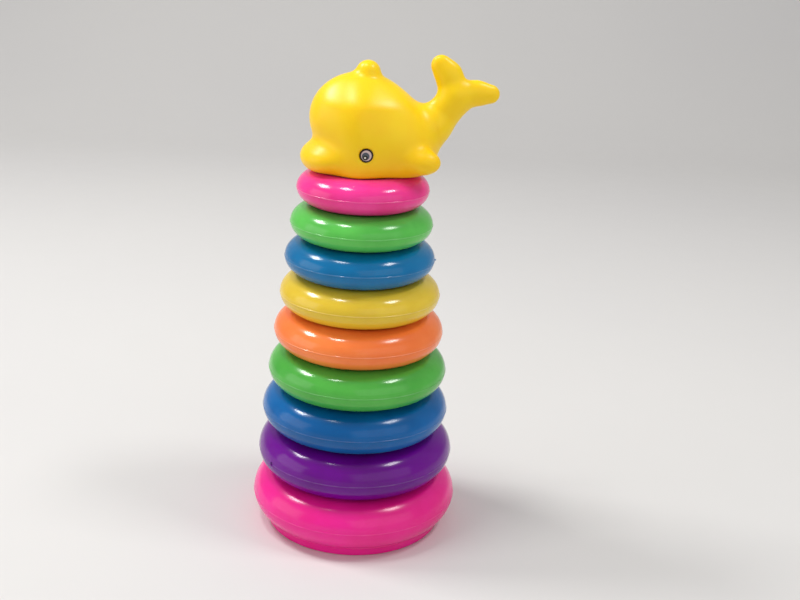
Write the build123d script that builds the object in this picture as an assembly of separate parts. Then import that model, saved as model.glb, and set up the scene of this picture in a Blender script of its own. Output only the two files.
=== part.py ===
from build123d import *
import math
import os

# Ring-stacking tower: a hollow base with a post plugged into it, eight hollow
# rings that shrink towards the top, and a dolphin that caps the post.
# Millimetres, +Z up. Origin: centre of the base, on the surface it stands on.
# The dolphin faces -X and its side faces -Y.

# ---- base ------------------------------------------------------------------
BASE_R = 60.0            # widest radius, at the parting line
BASE_HALF_W = 15.0       # half width of the bulge's section
BASE_HALF_H = 14.55      # half height of the bulge's section
BASE_EQ_Z = 17.86        # height of the parting line
FOOT_R = 52.0            # inset foot ring
FOOT_IN_R = 44.0
FOOT_RECESS = 2.2        # underside dishes up by this much inside the foot ring
BASE_FLOOR = 4.6         # top of the floor of the post's well
WELL_R = 27.0            # well that holds the post's plug
LEDGE_Z = 24.0           # ledge that the post's flange sits on
LEDGE_R = 31.4
BASE_WALL = 1.6

# ---- rings, bottom to top: name, outer radius, half width, half height, offset
RINGS = [
    ("ring_purple", 56.92, 14.50, 13.55, -0.20),
    ("ring_blue_large", 53.91, 14.15, 12.45, -1.10),
    ("ring_green_large", 51.45, 13.85, 11.70, -0.50),
    ("ring_orange", 48.60, 13.55, 11.25, -0.50),
    ("ring_yellow", 45.45, 13.20, 10.75, -0.50),
    ("ring_blue_small", 42.36, 12.90, 10.20, -1.40),
    ("ring_green_small", 40.04, 12.60, 9.75, -0.90),
    ("ring_pink", 36.92, 12.30, 9.55, -0.80),
]
RING_WALL = 1.3
GAP = 0.12               # stacking gap between neighbours
RIB_OUT = 0.22           # parting line stands this proud
RIB_H = 0.55
BLOW_PIN_ANGLE = 214.0   # degrees about +Z, mark on the largest ring
BLOW_PIN_R = 1.25
BLOW_PIN_DEPTH = 0.8

# ---- post --------------------------------------------------------------------
PLUG_R = 26.9
FLANGE_R = 31.0
FLANGE_T = 2.6
POST_R0 = 26.2           # radius where the taper starts
POST_Z0 = 40.0
POST_R1 = 8.1            # radius at the top, before rounding
POST_TOP = 228.0
POST_TIP = 4.6           # rounding of the top edge
POST_WALL = 1.5

# ---- dolphin -----------------------------------------------------------------
BODY = [  # height above the belly, front x, back x, half width
    (0.0, -30.5, 34.5, 23.5),
    (1.5, -33.0, 35.6, 24.8),
    (4.0, -35.0, 37.0, 25.6),
    (7.3, -35.9, 38.2, 26.2),
    (11.5, -34.2, 39.2, 26.5),
    (15.5, -31.2, 39.4, 26.8),
    (19.5, -30.2, 38.8, 26.9),
    (25.0, -31.0, 36.8, 26.6),
    (32.0, -30.9, 32.4, 25.2),
    (38.0, -29.2, 26.8, 22.8),
    (43.0, -26.2, 21.0, 18.5),
    (47.5, -21.6, 15.0, 13.6),
    (51.0, -15.7, 8.8, 8.7),
    (53.2, -9.5, 2.4, 4.2),
]
BODY_SHRINK = 0.94       # inner wall against outer wall
TAIL = [  # centre x, centre z above the belly, tangent x, z, in-plane radius, y radius
    (24.0, 22.5, 0.86, 0.51, 14.5, 16.0),
    (36.5, 28.4, 0.80, 0.60, 12.4, 12.0),
    (42.7, 34.2, 0.67, 0.74, 9.9, 8.8),
    (46.4, 40.4, 0.53, 0.85, 9.6, 6.8),
    (48.6, 45.0, 0.45, 0.89, 7.6, 5.0),
]
FLUKES = [  # centre x, z above the belly, lean from +X in degrees, half length, half width, half thickness
    (42.6, 52.4, 107.0, 12.3, 7.9, 5.2),
    (60.2, 44.4, 1.0, 12.3, 6.9, 5.2),
]
FLIPPER = (30.0, 18.4, 10.3, 20.0, 10.2, 7.8, 8.2)  # x, y, z above belly, yaw, half sizes
BUMP = (-0.3, 53.1, 6.8)  # blowhole bump: x, z above the belly, radius
DOLPHIN_WALL = 1.6
SOCKET_CLEAR = 0.6       # socket to post, radial
SOCKET_DEPTH = 17.4
EYE_X, EYE_Z = 0.2, 13.2  # eye centre, height above the belly
EYE_R = 3.7
EYE_T = 0.6
EYE_SPOT_R = 4.2         # shallow flat spot that the sticker sits in
EYE_SPOT_Y = 25.9

os.makedirs("parts", exist_ok=True)


def save(solid, node):
    export_step(solid, f"parts/{node}.step")


def in_xz(x, z, sketch):
    return Plane.XZ * (Pos(x, z) * sketch)


def turned(points):
    """Solid of revolution from an (r, z) outline."""
    return revolve(Plane.XZ * make_face(Polyline(*points, close=True)), Axis.Z, 360)


def post_r(z):
    """Outside radius of the tapered post."""
    if z <= POST_Z0:
        return POST_R0
    return POST_R0 + (POST_R1 - POST_R0) * (z - POST_Z0) / (POST_TOP - POST_Z0)


def hollow_ring(r_out, half_w, half_h, z, wall):
    """Blow-moulded ring: oval section, sealed hollow, rib along the parting line."""
    rc = r_out - half_w
    skin = in_xz(rc, z, Ellipse(half_w, half_h)) + in_xz(
        r_out - 0.4 + RIB_OUT / 2, z, Rectangle(0.8 + RIB_OUT, RIB_H)
    )
    hollow = in_xz(rc, z, Ellipse(half_w - wall, half_h - wall))
    return revolve(skin, Axis.Z, 360) - revolve(hollow, Axis.Z, 360)


# ---- base: bulge, foot, floor and well in one hollow moulding ---------------
bulge_c = BASE_R - BASE_HALF_W
bulge = in_xz(bulge_c, BASE_EQ_Z, Ellipse(BASE_HALF_W, BASE_HALF_H)) + in_xz(
    BASE_R - 0.4 + RIB_OUT / 2, BASE_EQ_Z, Rectangle(0.8 + RIB_OUT, RIB_H)
)
core = Plane.XZ * make_face(
    Polyline((0, FOOT_RECESS), (FOOT_IN_R, FOOT_RECESS), (FOOT_IN_R + 1.6, 0), (FOOT_R - 1.0, 0),
             (FOOT_R, 1.0), (FOOT_R, 8.0), (bulge_c, 20.0), (LEDGE_R, LEDGE_Z), (WELL_R, LEDGE_Z),
             (WELL_R, BASE_FLOOR), (0, BASE_FLOOR), close=True)
)
base = revolve(bulge + core, Axis.Z, 360)
base -= revolve(
    in_xz(bulge_c, BASE_EQ_Z, Ellipse(BASE_HALF_W - BASE_WALL, BASE_HALF_H - BASE_WALL)),
    Axis.Z, 360,
)
save(base, "base")

# ---- post: hollow taper with a plug and a flange -----------------------------
outer = turned([
    (0, BASE_FLOOR), (PLUG_R - 1.2, BASE_FLOOR), (PLUG_R, BASE_FLOOR + 1.2), (PLUG_R, LEDGE_Z),
    (FLANGE_R, LEDGE_Z), (FLANGE_R, LEDGE_Z + FLANGE_T - 0.8), (FLANGE_R - 0.8, LEDGE_Z + FLANGE_T),
    (POST_R0, LEDGE_Z + FLANGE_T), (POST_R0, POST_Z0), (POST_R1, POST_TOP), (0, POST_TOP)])
outer = fillet(outer.edges().filter_by(GeomType.CIRCLE).group_by(Axis.Z)[-1], POST_TIP)
inner = turned([
    (0, BASE_FLOOR + POST_WALL), (PLUG_R - 2.4, BASE_FLOOR + POST_WALL), (PLUG_R - POST_WALL - 0.6, LEDGE_Z),
    (POST_R0 - POST_WALL, POST_Z0), (POST_R1 - POST_WALL + 0.4, POST_TOP - 4.5),
    (POST_R1 - 5.0, POST_TOP - POST_WALL), (0, POST_TOP - POST_WALL)])
post = outer - inner
save(post, "post")

# ---- rings: each rests on the one below --------------------------------------
top = BASE_EQ_Z + BASE_HALF_H
for name, r_out, half_w, half_h, off in RINGS:
    z = top + GAP + half_h
    ring = hollow_ring(r_out, half_w, half_h, z, RING_WALL)
    if name == "ring_purple":  # blind mark left by the blowing pin, on the parting line
        a = math.radians(BLOW_PIN_ANGLE)
        out = Vector(math.cos(a), math.sin(a), 0)
        at = Vector(0, 0, z) + out * (r_out + RIB_OUT - BLOW_PIN_DEPTH)
        ring -= extrude(Plane(origin=at, z_dir=out) * Circle(BLOW_PIN_R), 4)
    print(name, "z", round(z, 2), "hole r", round(r_out - 2 * half_w, 2),
          "post clearance", round(r_out - 2 * half_w - post_r(z) - abs(off), 2), "top", round(z + half_h, 2))
    save(Pos(off, 0, 0) * ring, name)
    top = z + half_h

# ---- dolphin -----------------------------------------------------------------
BELLY = top + 0.2
print("belly", round(BELLY, 2), "post top", POST_TOP)


def body_skin(k):
    """Body and head; k below 1 draws it in towards its middle, for the inner wall."""
    mx, mh = 3.0, 26.0
    sections = [
        Plane(origin=(mx + k * ((xf + xb) / 2 - mx), 0, BELLY + mh + k * (h - mh)),
              x_dir=(1, 0, 0), z_dir=(0, 0, 1)) * Ellipse(k * (xb - xf) / 2, k * w)
        for h, xf, xb, w in BODY
    ]
    return loft(sections)


def tail_skin(inset):
    sections = []
    for x, z, tx, tz, rin, ry in TAIL:
        n = math.hypot(tx, tz)
        tx, tz = tx / n, tz / n
        sections.append(
            Plane(origin=(x, 0, BELLY + z), x_dir=(-tz, 0, tx), z_dir=(tx, 0, tz))
            * Ellipse(rin - inset, ry - inset)
        )
    return loft(sections)


def ovoid(a, b, c):
    return scale(Rot(0, 90, 0) * Sphere(1.0), by=(a, b, c))


def fluke(x, z, lean, a, b, c, inset):
    return Pos(x, 0, BELLY + z) * Rot(0, -lean, 0) * ovoid(a - inset, c - inset, b - inset)


def flipper(side, inset):
    x, y, z, yaw, a, b, c = FLIPPER
    return (Pos(x, side * y, BELLY + z) * Rot(0, 0, side * yaw)
            * ovoid(a - inset, b - inset, c - inset))


body = body_skin(1.0)
tail = tail_skin(0.0)
skin = body + tail
for f in FLUKES:
    skin += fluke(*f, 0.0)
for side in (-1, 1):
    skin += flipper(side, 0.0)
skin += Pos(BUMP[0], 0, BELLY + BUMP[1]) * Sphere(BUMP[2])

void = body_skin(BODY_SHRINK)  # the flukes and flippers are solid
void += tail_skin(DOLPHIN_WALL)

s0, s1 = post_r(BELLY) + SOCKET_CLEAR, post_r(BELLY + SOCKET_DEPTH) + SOCKET_CLEAR
socket = turned([(0, BELLY - 1), (s0 + 0.1, BELLY - 1), (s1, BELLY + SOCKET_DEPTH), (0, BELLY + SOCKET_DEPTH)])
sleeve = turned([(0, BELLY - 1), (s0 + DOLPHIN_WALL, BELLY - 1), (s1 + DOLPHIN_WALL, BELLY + SOCKET_DEPTH + DOLPHIN_WALL),
                 (0, BELLY + SOCKET_DEPTH + DOLPHIN_WALL)])
dolphin = skin - (void - sleeve) - socket

eyes = {}
for side, node in ((-1, "eye_left"), (1, "eye_right")):
    face = Plane(origin=(EYE_X, side * EYE_SPOT_Y, BELLY + EYE_Z), x_dir=(1, 0, 0), z_dir=(0, side, 0))
    dolphin -= extrude(face * Circle(EYE_SPOT_R), 6)
    eye = extrude(face * Circle(EYE_R), EYE_T)
    eyes[node] = chamfer(eye.edges().filter_by(GeomType.CIRCLE).sort_by(Axis.Y)[-1 if side > 0 else 0], 0.2)
save(dolphin, "dolphin")
for node, eye in eyes.items():
    save(eye, node)
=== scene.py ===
import math

import bmesh
import bpy
import numpy as np
from mathutils import Matrix, Vector


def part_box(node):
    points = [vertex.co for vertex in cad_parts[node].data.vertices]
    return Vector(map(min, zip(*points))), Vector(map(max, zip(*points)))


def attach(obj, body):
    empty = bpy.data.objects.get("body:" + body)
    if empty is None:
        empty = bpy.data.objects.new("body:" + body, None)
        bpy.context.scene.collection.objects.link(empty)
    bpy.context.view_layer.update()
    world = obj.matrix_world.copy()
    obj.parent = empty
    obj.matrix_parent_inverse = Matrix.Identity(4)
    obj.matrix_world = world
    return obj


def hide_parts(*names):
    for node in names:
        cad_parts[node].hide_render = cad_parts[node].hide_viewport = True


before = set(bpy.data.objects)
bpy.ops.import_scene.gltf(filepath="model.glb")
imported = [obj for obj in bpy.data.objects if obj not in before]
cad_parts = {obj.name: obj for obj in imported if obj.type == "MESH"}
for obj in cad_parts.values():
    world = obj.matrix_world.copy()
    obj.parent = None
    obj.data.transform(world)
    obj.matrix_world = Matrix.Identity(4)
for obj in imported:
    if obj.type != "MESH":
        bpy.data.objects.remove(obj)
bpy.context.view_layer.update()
MM = 0.001
scene = bpy.context.scene
scene.view_settings.view_transform = "Standard"
scene.view_settings.look = "None"


# ---------------------------------------------------------------- camera ----
def camera():
    pitch, yaw, roll = (math.radians(a) for a in (18.63, 2.23, 2.78))
    fwd = Vector((math.sin(yaw) * math.cos(pitch), math.cos(yaw) * math.cos(pitch), -math.sin(pitch)))
    right = Vector((math.cos(yaw), -math.sin(yaw), 0.0))
    up = right.cross(fwd)
    r2 = right * math.cos(roll) + up * math.sin(roll)
    u2 = up * math.cos(roll) - right * math.sin(roll)
    data = bpy.data.cameras.new("camera")
    data.sensor_width = 36.0
    data.lens = 1100.0 * 36.0 / 800.0
    data.clip_start, data.clip_end = 0.02, 40.0
    cam = bpy.data.objects.new("camera", data)
    m = Matrix((r2, u2, -fwd)).transposed().to_4x4()
    m.translation = Vector((-0.7, -598.4, 338.9)) * MM
    cam.matrix_world = m
    scene.collection.objects.link(cam)
    scene.camera = cam


camera()


# ------------------------------------------------------------- materials ----
class Nodes:
    """Short names for building a node tree."""

    def __init__(self, name):
        self.mat = bpy.data.materials.new(name)
        self.mat.use_nodes = True
        self.tree = self.mat.node_tree
        self.tree.nodes.clear()
        self.out = self.node("ShaderNodeOutputMaterial")
        self.bsdf = self.node("ShaderNodeBsdfPrincipled")
        self.link(self.bsdf.outputs[0], self.out.inputs[0])
        self.coord = self.node("ShaderNodeTexCoord").outputs["Object"]

    def node(self, kind, **props):
        n = self.tree.nodes.new(kind)
        for k, v in props.items():
            setattr(n, k, v)
        return n

    def link(self, a, b):
        self.tree.links.new(a, b)

    def put(self, socket, value):
        if isinstance(value, bpy.types.NodeSocket):
            self.link(value, socket)
        else:
            socket.default_value = value

    def math(self, op, a, b=0.0, c=0.0, clamp=False):
        n = self.node("ShaderNodeMath", operation=op, use_clamp=clamp)
        for i, v in enumerate((a, b, c)):
            if i < len(n.inputs):
                self.put(n.inputs[i], v)
        return n.outputs[0]

    def noise(self, scale, detail=3.0, rough=0.5, vec=None, distort=0.0):
        n = self.node("ShaderNodeTexNoise")
        self.link(vec or self.coord, n.inputs["Vector"])
        n.inputs["Scale"].default_value = scale
        n.inputs["Detail"].default_value = detail
        n.inputs["Roughness"].default_value = rough
        n.inputs["Distortion"].default_value = distort
        return n.outputs["Fac"]

    def ramp(self, fac, lo, hi, a=0.0, b=1.0):
        n = self.node("ShaderNodeMapRange", interpolation_type="SMOOTHSTEP")
        n.clamp = True
        self.put(n.inputs[0], fac)
        for i, v in enumerate((lo, hi, a, b)):
            n.inputs[i + 1].default_value = v
        return n.outputs[0]

    def mix(self, fac, a, b, blend="MIX"):
        n = self.node("ShaderNodeMix", data_type="RGBA", blend_type=blend)
        self.put(n.inputs[0], fac)
        for i, v in ((6, a), (7, b)):
            self.put(n.inputs[i], (*v, 1.0) if isinstance(v, tuple) else v)
        return n.outputs[2]

    def stretched(self, sx, sy, sz):
        n = self.node("ShaderNodeMapping")
        self.link(self.coord, n.inputs["Vector"])
        n.inputs["Scale"].default_value = (sx, sy, sz)
        return n.outputs[0]

    def xyz(self):
        n = self.node("ShaderNodeSeparateXYZ")
        self.link(self.coord, n.inputs[0])
        return n.outputs

    def bump(self, height, dist, strength=1.0, under=None):
        n = self.node("ShaderNodeBump")
        self.link(height, n.inputs["Height"])
        n.inputs["Distance"].default_value = dist
        n.inputs["Strength"].default_value = strength
        if under is not None:
            self.link(under, n.inputs["Normal"])
        return n.outputs[0]


def lin(*srgb):
    """sRGB 0-255 to linear."""
    return tuple(
        c / 12.92 if c <= 0.04045 else ((c + 0.055) / 1.055) ** 2.4
        for c in (v / 255.0 for v in srgb)
    )


def plastic(name, colour, deep, seam_z=None, rough=0.15, sss=0.10, seam_y=False, spec=0.5, seam=1.0):
    """Blow-moulded plastic: cloudy pigment, faint scuffs, a pale line along the mould's parting line with a band of
    painted shade along the foot of its rib, soft orange peel.
    """
    m = Nodes(name)
    x, y, z = m.xyz()
    cloud = m.noise(26.0, 4.0, 0.55)
    speck = m.noise(520.0, 2.0, 0.6)
    col = m.mix(m.ramp(cloud, 0.35, 0.7), colour, deep)
    scuff = m.ramp(m.noise(210.0, 6.0, 0.62, m.stretched(1.0, 1.0, 3.2), 0.6), 0.66, 0.80)
    rub = m.ramp(m.noise(38.0, 3.0, 0.5), 0.52, 0.72)
    worn = m.math("MULTIPLY", scuff, rub)
    pale = tuple(min(1.0, c * 0.55 + 0.42) for c in colour)
    line = None
    if seam_z is not None:
        off = m.math("ABSOLUTE", m.math("SUBTRACT", z, seam_z))
        line = m.ramp(off, 0.00018, 0.00045, 1.0, 0.0)
        edge = m.math("MULTIPLY", line, m.ramp(m.noise(120.0, 4.0, 0.6), 0.3, 0.75, 0.10 * seam, 0.45 * seam))
        col = m.mix(edge, col, pale)
        # painted shade: a darker band on both sides of the parting line, in the crease where the rib meets the wall
        rib_foot_shade = m.math("MULTIPLY", m.ramp(m.math("ABSOLUTE", m.math("SUBTRACT", off, 0.00055)), 0.0, 0.00025, 1.0, 0.0), 0.30 * seam)
        col = m.mix(rib_foot_shade, col, tuple(c * 0.45 for c in deep))
    if seam_y:
        off = m.math("ABSOLUTE", y)
        line = m.ramp(off, 0.00012, 0.0004, 1.0, 0.0)
        col = m.mix(m.math("MULTIPLY", line, 0.25), col, pale)
    col = m.mix(m.math("MULTIPLY", worn, 0.22), col, pale)
    col = m.mix(m.ramp(speck, 0.68, 0.8, 0.0, 0.10), col, tuple(c * 0.6 for c in deep))
    m.link(col, m.bsdf.inputs["Base Color"])
    r = m.math("ADD", m.ramp(cloud, 0.3, 0.7, rough - 0.03, rough + 0.05), m.math("MULTIPLY", worn, 0.22))
    m.link(r, m.bsdf.inputs["Roughness"])
    m.bsdf.inputs["IOR"].default_value = 1.5
    m.bsdf.inputs["Subsurface Weight"].default_value = sss
    m.bsdf.inputs["Subsurface Radius"].default_value = (1.0, 0.6, 0.4)
    m.bsdf.inputs["Subsurface Scale"].default_value = 0.004
    m.bsdf.inputs["Specular IOR Level"].default_value = spec
    peel = m.noise(330.0, 2.0, 0.4)
    wave = m.noise(60.0, 2.0, 0.4)
    n = m.bump(wave, 0.00018, 0.55)
    n = m.bump(peel, 0.00002, 0.6, n)
    n = m.bump(m.math("MULTIPLY", worn, -1.0), 0.00002, 0.6, n)
    if seam_y:
        n = m.bump(line, 0.0001, 0.8, n)
    m.link(n, m.bsdf.inputs["Normal"])
    return m.mat


def smooth_between(x, lo, hi):
    t = np.clip((x - lo) / (hi - lo), 0.0, 1.0)
    return t * t * (3 - 2 * t)


# ---------------------------------------------------------- mesh helpers ----
def mesh_object(name, verts_mm, faces, mat, sharp_angle=40.0):
    me = bpy.data.meshes.new(name)
    me.from_pydata([tuple(v) for v in np.asarray(verts_mm) * MM], [], [tuple(int(i) for i in f) for f in faces])
    me.update()
    bm = bmesh.new()
    bm.from_mesh(me)
    bmesh.ops.recalc_face_normals(bm, faces=bm.faces)
    for f in bm.faces:
        f.smooth = True
    for e in bm.edges:
        if len(e.link_faces) == 2 and e.calc_face_angle(0.0) > math.radians(sharp_angle):
            e.smooth = False
    bm.to_mesh(me)
    bm.free()
    ob = bpy.data.objects.new(name, me)
    me.materials.append(mat)
    scene.collection.objects.link(ob)
    return ob


def lathe(section, angles, shift=(0.0, 0.0), warp=None, closed=True):
    """Vertices and quads of an (r, z) section turned about Z. warp(r, z, theta, i) may move points. Points at r 0 are
    not merged here; callers close the centre with fans.
    """
    sec = np.asarray(section, float)
    ns, na = len(sec), len(angles)
    th = np.asarray(angles)[:, None]
    r = np.repeat(sec[None, :, 0], na, 0)
    z = np.repeat(sec[None, :, 1], na, 0)
    if warp is not None:
        r, z = warp(r, z, np.repeat(th, ns, 1))
    v = np.stack([shift[0] + r * np.cos(th), shift[1] + r * np.sin(th), z], -1).reshape(-1, 3)
    faces = []
    last = ns if closed else ns - 1
    for a in range(na):
        b = (a + 1) % na
        for s in range(last):
            t = (s + 1) % ns
            faces.append((a * ns + s, b * ns + s, b * ns + t, a * ns + t))
    return v, faces


def turn_angles(n, dense=()):
    """n even angles, with finer steps in each (middle, half width, count) stretch."""
    a = np.linspace(0, 2 * math.pi, n, endpoint=False)
    for mid, half, count in dense:
        mid = mid % (2 * math.pi)
        d = np.abs((a - mid + math.pi) % (2 * math.pi) - math.pi)
        a = np.concatenate([a[d > half * 1.02], mid + np.linspace(-half, half, count)])
    return np.sort(a % (2 * math.pi))


RIB_OUT, RIB_HALF = 0.22, 0.30


def bulge_phis():
    """Section angles of a ring, fine at the parting line and even elsewhere."""
    fine = np.array([0.0, 0.35, 0.6, 0.8, 1.0, 1.25, 1.7, 2.6]) * 0.024
    even = np.radians(np.arange(6.0, 180.1, 3.0))
    half = np.concatenate([fine, even])
    return np.concatenate([half, -half[1:-1][::-1]])


def rib(z, zc, theta, seed):
    """How far the parting line stands out; it was trimmed by hand, so it varies a little."""
    trim = 0.78 + 0.16 * np.sin(5 * theta + seed) + 0.10 * np.sin(13 * theta + 2.1 * seed) + 0.05 * np.sin(37 * theta + seed)
    return RIB_OUT * trim * (1 - smooth_between(np.abs(z - zc), RIB_HALF * 0.45, RIB_HALF * 1.15))


# ----------------------------------------------------------------- rings ----
# node, slot, half width of the section, colour, cloudier tone, gloss, how pale the parting line is and how dark the
# painted shade along its rib
RINGS = [
    ("ring_purple", "purple_plastic", 14.50, (108, 0, 140), (96, 0, 124), 0.32, 0.32),
    ("ring_blue_large", "blue_plastic", 14.15, (0, 100, 170), (0, 86, 150), 0.34, 0.32),
    ("ring_green_large", "green_plastic", 13.85, (84, 182, 70), (66, 164, 56), 0.46, 0.42),
    ("ring_orange", "orange_plastic", 13.55, (252, 136, 66), (244, 120, 54), 0.46, 0.5),
    ("ring_yellow", "yellow_plastic", 13.20, (232, 200, 56), (222, 186, 44), 0.46, 0.5),
    ("ring_blue_small", "blue_plastic", 12.90, (2, 116, 172), (0, 102, 156), 0.36, 0.36),
    ("ring_green_small", "green_plastic", 12.60, (96, 200, 84), (80, 182, 70), 0.46, 0.42),
    ("ring_pink", "pink_plastic", 12.30, (244, 58, 152), (234, 42, 134), 0.46, 0.5),
]
BLOW_PIN = math.radians(214.0)


def make_ring(i, node, slot, half_w, colour, deep, spec, seam):
    lo, hi = (np.array(c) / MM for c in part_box(node))
    cx, zc = (lo[0] + hi[0]) / 2, (lo[2] + hi[2]) / 2
    r_out, half_h = (hi[0] - lo[0]) / 2 - RIB_OUT, (hi[2] - lo[2]) / 2 - 0.02
    rc = r_out - half_w
    phis = bulge_phis()
    section = np.stack([rc + half_w * np.cos(phis), zc + half_h * np.sin(phis)], 1)
    dense = []
    if node == "ring_purple":
        dense = [(BLOW_PIN, 0.062, 41)]
    if node == "ring_blue_small":
        dense = [(math.radians(-4.0), 0.06, 25)]
    seed = 1.7 * i + 0.4

    def warp(r, z, th):
        side = np.abs(r - rc) / half_w
        soft = 0.10 * np.sin(2 * th + seed) + 0.07 * np.sin(3 * th + 2.3 * seed) + 0.04 * np.sin(5 * th + 0.9 * seed)
        r = r + soft * side * np.sign(r - rc)
        outer = r > rc
        r = r + np.where(outer, rib(z, zc, th, seed), 0.0) - np.where(outer, 0.0, 0.6 * rib(z, zc, th, seed + 2))
        if node == "ring_purple":
            d = (th - BLOW_PIN + math.pi) % (2 * math.pi) - math.pi
            s = np.hypot(d * r_out, z - zc)
            on = outer & (s < 4)
            pit = -1.0 * (1 - smooth_between(s, 0.75, 1.25)) + 0.16 * np.exp(-((s - 1.65) / 0.34) ** 2)
            r = r + np.where(on, pit, 0.0)
        if node == "ring_blue_small":
            d = (th - math.radians(-4.0) + math.pi) % (2 * math.pi) - math.pi
            s = np.hypot(d * r_out / 1.5, (z - zc) / 0.75)
            r = r + np.where(outer, 0.55 * (1 - smooth_between(s, 0.2, 1.0)), 0.0)
        return r, z

    v, f = lathe(section, turn_angles(300, dense), (cx, 0.0), warp)
    mat = plastic(node + "_plastic", lin(*colour), lin(*deep), seam_z=zc * MM, spec=spec, seam=seam)
    ob = mesh_object(node + "_moulding", v, f, mat, 60)
    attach(ob, node)
    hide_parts(node)


for i, row in enumerate(RINGS):
    make_ring(i, *row)


# ------------------------------------------------------------------ base ----
def arc(cx, cz, r, a0, a1, n):
    t = np.radians(np.linspace(a0, a1, n))
    return [(cx + r * math.cos(x), cz + r * math.sin(x)) for x in t]


def make_base():
    R, A, B, ZC = 60.0, 15.0, 14.55, 17.86
    rc = R - A
    # down the outside of the bulge from its crest, round the foot, under the dish, up the well
    phis = np.concatenate([
        np.radians(np.arange(154.0, 6.0, -2.5)),
        np.array([2.6, 1.7, 1.25, 1.0, 0.8, 0.6, 0.35, 0.0, -0.35, -0.6, -0.8, -1.0, -1.25, -1.7, -2.6]) * 0.024,
        -np.radians(np.arange(6.0, 61.0, 2.5)),
    ])
    sec = [(rc + A * math.cos(p), ZC + B * math.sin(p)) for p in phis]
    r_end, z_end = sec[-1]
    foot = [(52.6, 4.75), (52.15, 4.2), (52.0, 3.4), (52.0, 2.2), *arc(51.0, 1.0, 1.0, 0, -90, 7)]
    under = [(49.0, 0.0), (47.0, 0.0), *arc(46.2, 0.6, 0.6, -90, -160, 5), (45.0, 1.4), (44.2, 1.95), (43.4, 2.2),
             (36.0, 2.2), (26.0, 2.2), (16.0, 2.2), (8.0, 2.2), (2.0, 2.2)]
    well = [(2.0, 4.6), (12.0, 4.6), (22.0, 4.6), (26.4, 4.6), (27.0, 5.2), (27.0, 12.0), (27.0, 20.0), (27.0, 23.4),
            (27.5, 24.0), (29.0, 24.0), (30.6, 24.0), (31.4, 24.25)]
    sec = sec[:-1] + [(r_end - 0.4, z_end - 0.28)] + foot + under + well
    sec = [p for p in sec if not (p[0] < 31.5 and p[1] > 24.3)]

    def warp(r, z, th):
        outer = r > rc
        soft = 0.12 * np.sin(2 * th + 0.8) + 0.06 * np.sin(3 * th + 2.0)
        high = smooth_between(z, 4.0, 12.0)
        r = r + np.where(outer, soft * high * np.clip((r - rc) / A, 0, 1), 0.0)
        return r + np.where(outer & (z > 10), rib(z, ZC, th, 3.3), 0.0), z

    v, f = lathe(sec, turn_angles(320), (0.0, 0.0), warp, closed=False)
    na, ns = 320, len(sec)
    # close the two ends: the section's last point meets its first, and the centre holes get caps
    mat = plastic("base_plastic", lin(242, 30, 148), lin(232, 22, 132), seam_z=ZC * MM, rough=0.17, spec=0.42, seam=0.18)
    k_under = sec.index((2.0, 2.2))
    extra, faces = [], [x for x in f]
    drop = set()
    for a in range(na):
        b = (a + 1) % na
        drop.add((a * ns + k_under, b * ns + k_under, b * ns + k_under + 1, a * ns + k_under + 1))
        faces.append((a * ns + ns - 1, b * ns + ns - 1, b * ns, a * ns))
    faces = [x for x in faces if x not in drop]
    c0, c1 = len(v), len(v) + 1
    v = np.vstack([v, [[0, 0, 2.2], [0, 0, 4.6]]])
    for a in range(na):
        b = (a + 1) % na
        faces.append((a * ns + k_under, b * ns + k_under, c0))
        faces.append((a * ns + k_under + 1, c1, b * ns + k_under + 1))
    ob = mesh_object("base_moulding", v, faces, mat, 50)
    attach(ob, "base")
    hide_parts("base")


make_base()


# ------------------------------------------------------------------ post ----
def make_post():
    lo, hi = (np.array(c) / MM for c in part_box("post"))
    z0, top = lo[2], hi[2]

    def rad(z):
        return 26.2 + (8.1 - 26.2) * (z - 40.0) / (228.0 - 40.0) if z > 40 else 26.2

    sec = [(2.0, z0 + 0.02), (14.0, z0 + 0.02), (25.0, z0 + 0.02), (25.9, z0 + 0.3), (26.6, z0 + 1.0), (26.8, z0 + 1.8),
           (26.85, 12.0), (26.85, 20.0), (26.85, 23.7), (27.2, 24.03), (29.0, 24.03), (30.4, 24.03), (30.85, 24.3),
           (31.0, 24.8), (31.0, 25.6), (30.75, 26.2), (30.2, 26.55), (29.0, 26.6), (27.6, 26.6), (26.9, 26.7),
           (26.4, 27.1), (26.2, 27.8)]
    sec += [(rad(z), z) for z in np.linspace(30, top - 5.0, 60)]
    r_top = rad(top - 5.0)
    t = np.radians(np.linspace(0, 88, 16)[1:])
    sec += [(r_top * math.cos(x) ** 0.9 + 0.02, top - 5.0 + 5.0 * math.sin(x)) for x in t]

    def warp(r, z, th):
        # two faint mould lines up the sides, at +X and -X, and slow blow-moulding waves
        d = np.minimum(np.abs((th + math.pi) % (2 * math.pi) - math.pi), np.abs(th - math.pi))
        line = 0.14 * np.exp(-((d * np.maximum(r, 1.0)) / 0.35) ** 2) * (z > 27.5)
        return r + line * (r > 3) + 0.04 * np.sin(z / 7.0) * (z > 34) * (z < top - 8), z

    ang = turn_angles(160, [(0.0, 0.06, 17), (math.pi, 0.06, 17)])
    v, f = lathe(sec, ang, (0.0, 0.0), warp, closed=False)
    na, ns = len(ang), len(sec)
    c0, c1 = len(v), len(v) + 1
    v = np.vstack([v, [[0, 0, sec[0][1]], [0, 0, top]]])
    for a in range(na):
        b = (a + 1) % na
        f.append((a * ns, c0, b * ns))
        f.append((a * ns + ns - 1, b * ns + ns - 1, c1))
    mat = plastic("post_plastic", lin(240, 240, 236), lin(230, 230, 226), rough=0.28, sss=0.15)
    ob = mesh_object("post_moulding", v, f, mat, 50)
    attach(ob, "base")
    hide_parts("post")


make_post()

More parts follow.
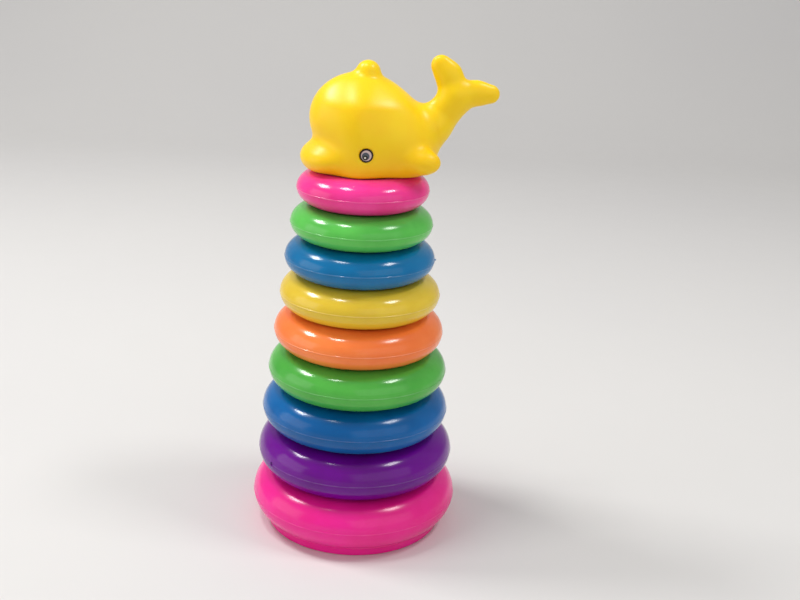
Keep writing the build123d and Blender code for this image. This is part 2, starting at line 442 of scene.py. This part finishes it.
# --------------------------------------------------------------- dolphin ----
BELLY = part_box("dolphin")[0].z / MM
D = {"hx": -3.5, "hz": 29.02, "hr": 27.91, "hv": 24.51, "hy": 24.01, "aw": 0.26, "a0": 36.34, "a1": 51.02,
     "cx": -3.68, "cz": 17.97, "ca": 17.2, "cb": 27.0, "cc": 30.0, "cl": 45.0, "bx": 14.46, "bz": 14.67,
     "ba": 25.07, "bb": 24.07, "bc": 24.72, "k1": 7.21, "k2": 10.82, "t0x": 27.07, "t0z": 25.19, "t0r": 2.18,
     "t1x": 38.17, "t1z": 27.88, "t1r": 8.89, "t2x": 47.56, "t2z": 42.46, "t2r": 9.4, "kt": 11.03, "f1x": 38.63,
     "f1z": 58.75, "f1r": 5.46, "g1x": 42.9, "g1z": 53.67, "g1r": 6.36, "f2x": 66.13, "f2z": 44.38, "f2r": 5.07,
     "g2x": 58.5, "g2z": 44.55, "g2r": 5.86, "kf": 2.6, "sx": -18.34, "sz": 7.34, "sa": 17.7, "sb": 23.3,
     "sc": 10.43, "ks": 6.5, "ux": -0.29, "uz": 53.09, "ur": 6.8, "vx": -2.34, "vz": 48.14, "vr": 6.82,
     "ku": 3.15, "px": 29.1, "py": 18.4, "pz": 9.5, "pa": 11.2, "pb": 7.8, "pc": 7.2, "kp": 4.6}
EYE_X, EYE_H, EYE_Y, EYE_R, EYE_SPOT = 0.2, 13.2, 25.9, 3.7, 4.1


def ell(p, c, r, yaw=0.0, lean=0.0):
    q = p - np.asarray(c, float)
    if yaw:
        cs, sn = math.cos(yaw), math.sin(yaw)
        q = np.stack([cs * q[:, 0] + sn * q[:, 1], -sn * q[:, 0] + cs * q[:, 1], q[:, 2]], 1)
    if lean:
        cs, sn = math.cos(lean), math.sin(lean)
        q = np.stack([cs * q[:, 0] + sn * q[:, 2], q[:, 1], -sn * q[:, 0] + cs * q[:, 2]], 1)
    r = np.asarray(r, float)
    k0 = np.sqrt(((q / r) ** 2).sum(1))
    k1 = np.sqrt(((q / r**2) ** 2).sum(1))
    return k0 * (k0 - 1) / np.maximum(k1, 1e-9)


def cone(p, a, b, ra, rb, sy=1.0):
    q = p.copy()
    q[:, 1] *= sy
    a, b = np.asarray(a, float), np.asarray(b, float)
    ab = b - a
    t = np.clip(((q - a) @ ab) / (ab @ ab), 0, 1)
    return np.sqrt(((q - a - t[:, None] * ab) ** 2).sum(1)) - (ra + (rb - ra) * t)


def smin(a, b, k):
    h = np.maximum(k - np.abs(a - b), 0) / k
    return np.minimum(a, b) - h * h * k * 0.25


def smax(a, b, k):
    return -smin(-a, -b, k)


def dolphin_shape(p):
    """Distance-like field of the dolphin, height counted from its belly."""
    q = p.copy()  # the dome of the head leans in towards its crown
    q[:, 1] *= 1 + D["aw"] * smooth_between(p[:, 2], D["a0"], D["a1"])
    d = ell(q, (D["hx"], 0, D["hz"]), (D["hr"], D["hy"], D["hv"]))
    q = p.copy()  # cheeks: steeper below their widest level
    low = q[:, 2] < D["cz"]
    q[low, 2] = D["cz"] + (q[low, 2] - D["cz"]) * D["cc"] / D["cl"]
    d = smin(d, ell(q, (D["cx"], 0, D["cz"]), (D["ca"], D["cb"], D["cc"])), D["k1"])
    d = smin(d, ell(p, (D["bx"], 0, D["bz"]), (D["ba"], D["bb"], D["bc"])), D["k2"])
    t0, t1, t2 = ((D[k + "x"], 0, D[k + "z"]) for k in ("t0", "t1", "t2"))
    t = smin(cone(p, t0, t1, D["t0r"], D["t1r"], 1.05), cone(p, t1, t2, D["t1r"], D["t2r"], 1.2), 2.0)
    d = smin(d, t, D["kt"])
    # each fluke: a broad leaf that bends at its middle and thins to a round tip
    g1, g2 = (D["g1x"], 0, D["g1z"]), (D["g2x"], 0, D["g2z"])
    f1 = smin(cone(p, t2, g1, D["t2r"], D["g1r"], 1.45), cone(p, g1, (D["f1x"], 0, D["f1z"]), D["g1r"], D["f1r"], 1.45), 5.0)
    f2 = smin(cone(p, (D["t2x"] + 3, 0, D["t2z"] + 1), g2, D["t2r"] - 1, D["g2r"], 1.4),
              cone(p, g2, (D["f2x"], 0, D["f2z"]), D["g2r"], D["f2r"], 1.4), 5.0)
    d = smin(d, smin(f1, f2, 1.6), D["kf"])
    d = smin(d, ell(p, (D["sx"], 0, D["sz"]), (D["sa"], D["sb"], D["sc"])), D["ks"])
    u = cone(p, (D["vx"], 0, D["vz"]), (D["ux"], 0, D["uz"]), D["vr"], D["ur"])
    d = smin(d, u, D["ku"])
    for side in (-1, 1):
        d = smin(d, ell(p, (D["px"], side * D["py"], D["pz"]), (D["pa"], D["pb"], D["pc"]), yaw=side * math.radians(20)), D["kp"])
    d = smax(d, -p[:, 2], 1.6)  # flat belly
    rho = np.hypot(p[:, 0], p[:, 1])
    d = smax(d, -np.maximum(rho - (10.4 - 0.096 * p[:, 2]), p[:, 2] - 17.4), 0.9)  # socket for the post
    for side in (-1, 1):  # flat spot for the eye sticker
        spot = np.maximum(np.hypot(p[:, 0] - EYE_X, p[:, 2] - EYE_H) - EYE_SPOT, EYE_Y - side * p[:, 1])
        d = smax(d, -spot, 0.5)
    return d


def surface(shape, lo, hi, step):
    """Quad mesh of shape's zero surface: one vertex in each grid cell that it crosses, drawn onto the surface."""
    axes = [np.arange(a, b + step, step) for a, b in zip(lo, hi)]
    n = [len(a) for a in axes]
    vals = np.empty(n)
    gy, gz = np.meshgrid(axes[1], axes[2], indexing="ij")
    for i, x in enumerate(axes[0]):
        vals[i] = shape(np.stack([np.full(gy.size, x), gy.ravel(), gz.ravel()], 1)).reshape(gy.shape)
    inside = vals < 0
    c = tuple(k - 1 for k in n)
    total, count = np.zeros(c + (3,)), np.zeros(c)
    for ax in range(3):
        o1, o2 = [k for k in range(3) if k != ax]
        for u in (0, 1):
            for w in (0, 1):
                sl0, sl1 = [None] * 3, [None] * 3
                sl0[ax], sl1[ax] = slice(0, n[ax] - 1), slice(1, n[ax])
                for o, s in ((o1, u), (o2, w)):
                    sl0[o] = sl1[o] = slice(s, n[o] - 1 + s)
                v0, v1 = vals[tuple(sl0)], vals[tuple(sl1)]
                cross = (v0 < 0) != (v1 < 0)
                t = np.where(cross, v0 / np.where(cross, v0 - v1, 1.0), 0.0)
                add = np.zeros(c + (3,))
                add[..., ax], add[..., o1], add[..., o2] = t, u, w
                total += add * cross[..., None]
                count += cross
    live = count > 0
    ids = np.full(c, -1)
    ids[live] = np.arange(live.sum())
    cell = np.argwhere(live)
    pts = (cell + total[live] / count[live][:, None]) * step + np.array(lo)
    faces = []
    for ax in range(3):
        o1, o2 = (ax + 1) % 3, (ax + 2) % 3
        sl0, sl1 = [slice(1, k - 1) for k in n], [slice(1, k - 1) for k in n]
        sl0[ax], sl1[ax] = slice(0, n[ax] - 1), slice(1, n[ax])
        a, b = inside[tuple(sl0)], inside[tuple(sl1)]
        hit = np.argwhere(a != b)
        flip = a[tuple(hit.T)]
        base = hit.copy()
        base[:, o1] += 1
        base[:, o2] += 1
        quad = []
        for d1, d2 in ((-1, -1), (0, -1), (0, 0), (-1, 0)):
            k = base.copy()
            k[:, o1] += d1
            k[:, o2] += d2
            quad.append(ids[tuple(k.T)])
        q = np.stack(quad, 1)
        q[~flip] = q[~flip][:, ::-1]
        faces.append(q)
    faces = np.vstack(faces)
    for _ in range(4):
        d = shape(pts)
        g = np.stack([(shape(pts + e) - shape(pts - e)) / 0.04 for e in np.eye(3) * 0.02], 1)
        s = d / np.maximum((g**2).sum(1), 0.25)
        pts = pts - np.clip(s, -0.4, 0.4)[:, None] * g
    return pts, faces


def make_dolphin():
    pts, faces = surface(dolphin_shape, (-39.3, -31.1, -2.1), (75.2, 31.2, 68.3), 0.72)
    pts[:, 2] += BELLY
    mat = plastic("dolphin_plastic", lin(255, 214, 14), lin(253, 204, 8), rough=0.33, sss=0.20, seam_y=True, spec=0.34)
    ob = mesh_object("dolphin_moulding", pts, faces, mat, 70)
    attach(ob, "dolphin")
    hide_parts("dolphin")


make_dolphin()


def eye_material(side):
    """Printed eye: dark rim, pale grey white, blue-grey iris low at the front, black pupil and a glint."""
    m = Nodes("eye_print_" + ("left" if side < 0 else "right"))
    x, y, z = m.xyz()
    u = m.math("DIVIDE", m.math("SUBTRACT", x, EYE_X * MM), EYE_R * MM)
    w = m.math("DIVIDE", m.math("SUBTRACT", z, (EYE_H + BELLY) * MM), EYE_R * MM)

    def disc(cu, cw, r, soft=0.035):
        a = m.math("SUBTRACT", u, cu)
        b = m.math("SUBTRACT", w, cw)
        rho = m.math("SQRT", m.math("ADD", m.math("MULTIPLY", a, a), m.math("MULTIPLY", b, b)))
        return m.ramp(rho, r - soft, r + soft, 1.0, 0.0)

    col = m.mix(disc(0.0, 0.0, 0.75), lin(36, 12, 2), lin(208, 186, 182))
    inner = disc(0.0, 0.0, 0.75)
    col = m.mix(m.math("MULTIPLY", disc(-0.09, -0.10, 0.56), inner), col, lin(112, 110, 124))
    col = m.mix(m.math("MULTIPLY", disc(-0.09, -0.12, 0.50), inner), col, lin(72, 80, 90))
    col = m.mix(m.math("MULTIPLY", disc(-0.11, -0.22, 0.40), inner), col, lin(92, 100, 104))
    col = m.mix(m.math("MULTIPLY", disc(-0.13, -0.30, 0.36), inner), col, lin(26, 24, 16))
    col = m.mix(disc(-0.16, -0.32, 0.13), col, lin(240, 240, 225))
    col = m.mix(m.ramp(m.noise(900.0, 2.0), 0.55, 0.75, 0.0, 0.12), col, lin(150, 140, 130))
    m.link(col, m.bsdf.inputs["Base Color"])
    m.link(m.ramp(m.noise(400.0, 3.0), 0.3, 0.7, 0.16, 0.30), m.bsdf.inputs["Roughness"])
    m.bsdf.inputs["Specular IOR Level"].default_value = 0.3
    m.bsdf.inputs["Coat Weight"].default_value = 0.15
    m.bsdf.inputs["Coat Roughness"].default_value = 0.1
    m.link(m.bump(m.noise(700.0, 2.0), 0.00001, 0.5), m.bsdf.inputs["Normal"])
    return m.mat


def make_eye(side):
    node = "eye_left" if side < 0 else "eye_right"
    # thin domed sticker: section from its middle out to the rolled edge and back under
    sec = [(0.15, 0.62)] + [(r, 0.62 - 0.16 * (r / EYE_R) ** 2) for r in np.linspace(0.4, EYE_R - 0.25, 14)]
    sec += [(EYE_R - 0.10, 0.42), (EYE_R - 0.02, 0.32), (EYE_R, 0.2), (EYE_R, 0.02), (EYE_R - 0.6, 0.02), (0.15, 0.02)]
    v, f = lathe(sec, turn_angles(96), closed=False)
    na, ns = 96, len(sec)
    c0, c1 = len(v), len(v) + 1
    v = np.vstack([v, [[0, 0, 0.62], [0, 0, 0.02]]])
    for a in range(na):
        b = (a + 1) % na
        f.append((a * ns, b * ns, c0))
        f.append((a * ns + ns - 1, c1, b * ns + ns - 1))
    out = np.stack([EYE_X + v[:, 0], side * (EYE_Y + v[:, 2]), BELLY + EYE_H + v[:, 1]], 1)
    ob = mesh_object(node + "_sticker", out, f, eye_material(side), 60)
    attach(ob, "dolphin")
    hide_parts(node)


for side in (-1, 1):
    make_eye(side)


# ----------------------------------------------------------------- stage ----
def make_stage():
    """Pale floor that sweeps up into a plain backdrop."""
    prof = [(-3.0, 0.0), (1.1, 0.0)]
    for t in np.linspace(0, math.pi / 2, 24)[1:]:
        prof.append((1.1 + 0.9 * math.sin(t), 0.9 - 0.9 * math.cos(t)))
    prof.append((2.0, 3.5))
    verts, faces = [], []
    for y, z in prof:
        verts += [(-4.0, y, z), (4.0, y, z)]
    for k in range(len(prof) - 1):
        faces.append((2 * k, 2 * k + 1, 2 * k + 3, 2 * k + 2))
    me = bpy.data.meshes.new("floor")
    me.from_pydata(verts, [], faces)
    for p in me.polygons:
        p.use_smooth = True
    ob = bpy.data.objects.new("floor", me)
    scene.collection.objects.link(ob)
    m = Nodes("floor_paper")
    tone = m.noise(1.3, 2.0, 0.5)
    m.link(m.mix(m.ramp(tone, 0.3, 0.7), lin(219, 217, 214), lin(216, 214, 212)), m.bsdf.inputs["Base Color"])
    m.link(m.ramp(m.noise(30.0, 3.0), 0.3, 0.7, 0.55, 0.65), m.bsdf.inputs["Roughness"])
    m.bsdf.inputs["Specular IOR Level"].default_value = 0.25
    me.materials.append(m.mat)


make_stage()


def softbox(name, azimuth, elevation, dist, w, h, power, colour=(1.0, 1.0, 1.0)):
    """Area light looking at the tower. Azimuth 0 is towards the camera, 90 towards +X."""
    a, e = math.radians(azimuth), math.radians(elevation)
    d = Vector((math.sin(a) * math.cos(e), -math.cos(a) * math.cos(e), math.sin(e)))
    light = bpy.data.lights.new(name, "AREA")
    light.shape = "RECTANGLE"
    light.size, light.size_y = w, h
    light.energy = power
    light.color = colour
    ob = bpy.data.objects.new(name, light)
    ob.location = Vector((0, 0, 0.13)) + d * dist
    ob.rotation_mode = "QUATERNION"
    ob.rotation_quaternion = (-d).to_track_quat("-Z", "Y")
    scene.collection.objects.link(ob)


softbox("light_left", -108, 51, 1.5, 0.40, 0.22, 9.6)
softbox("light_top", -76, 73, 1.5, 0.34, 0.20, 6.0)
softbox("light_right", 78, 60, 1.5, 0.36, 0.22, 5.6)
softbox("wall_left", -80, 14, 2.2, 1.6, 1.4, 10.0, (1.0, 0.98, 0.95))
softbox("fill_front", 34, 21, 2.4, 3.2, 1.7, 10.5, (1.0, 0.99, 0.97))

world = bpy.data.worlds.new("room")
world.use_nodes = True
scene.world = world
bg = world.node_tree.nodes["Background"]
bg.inputs[0].default_value = (0.97, 0.975, 1.0, 1.0)
bg.inputs[1].default_value = 0.46
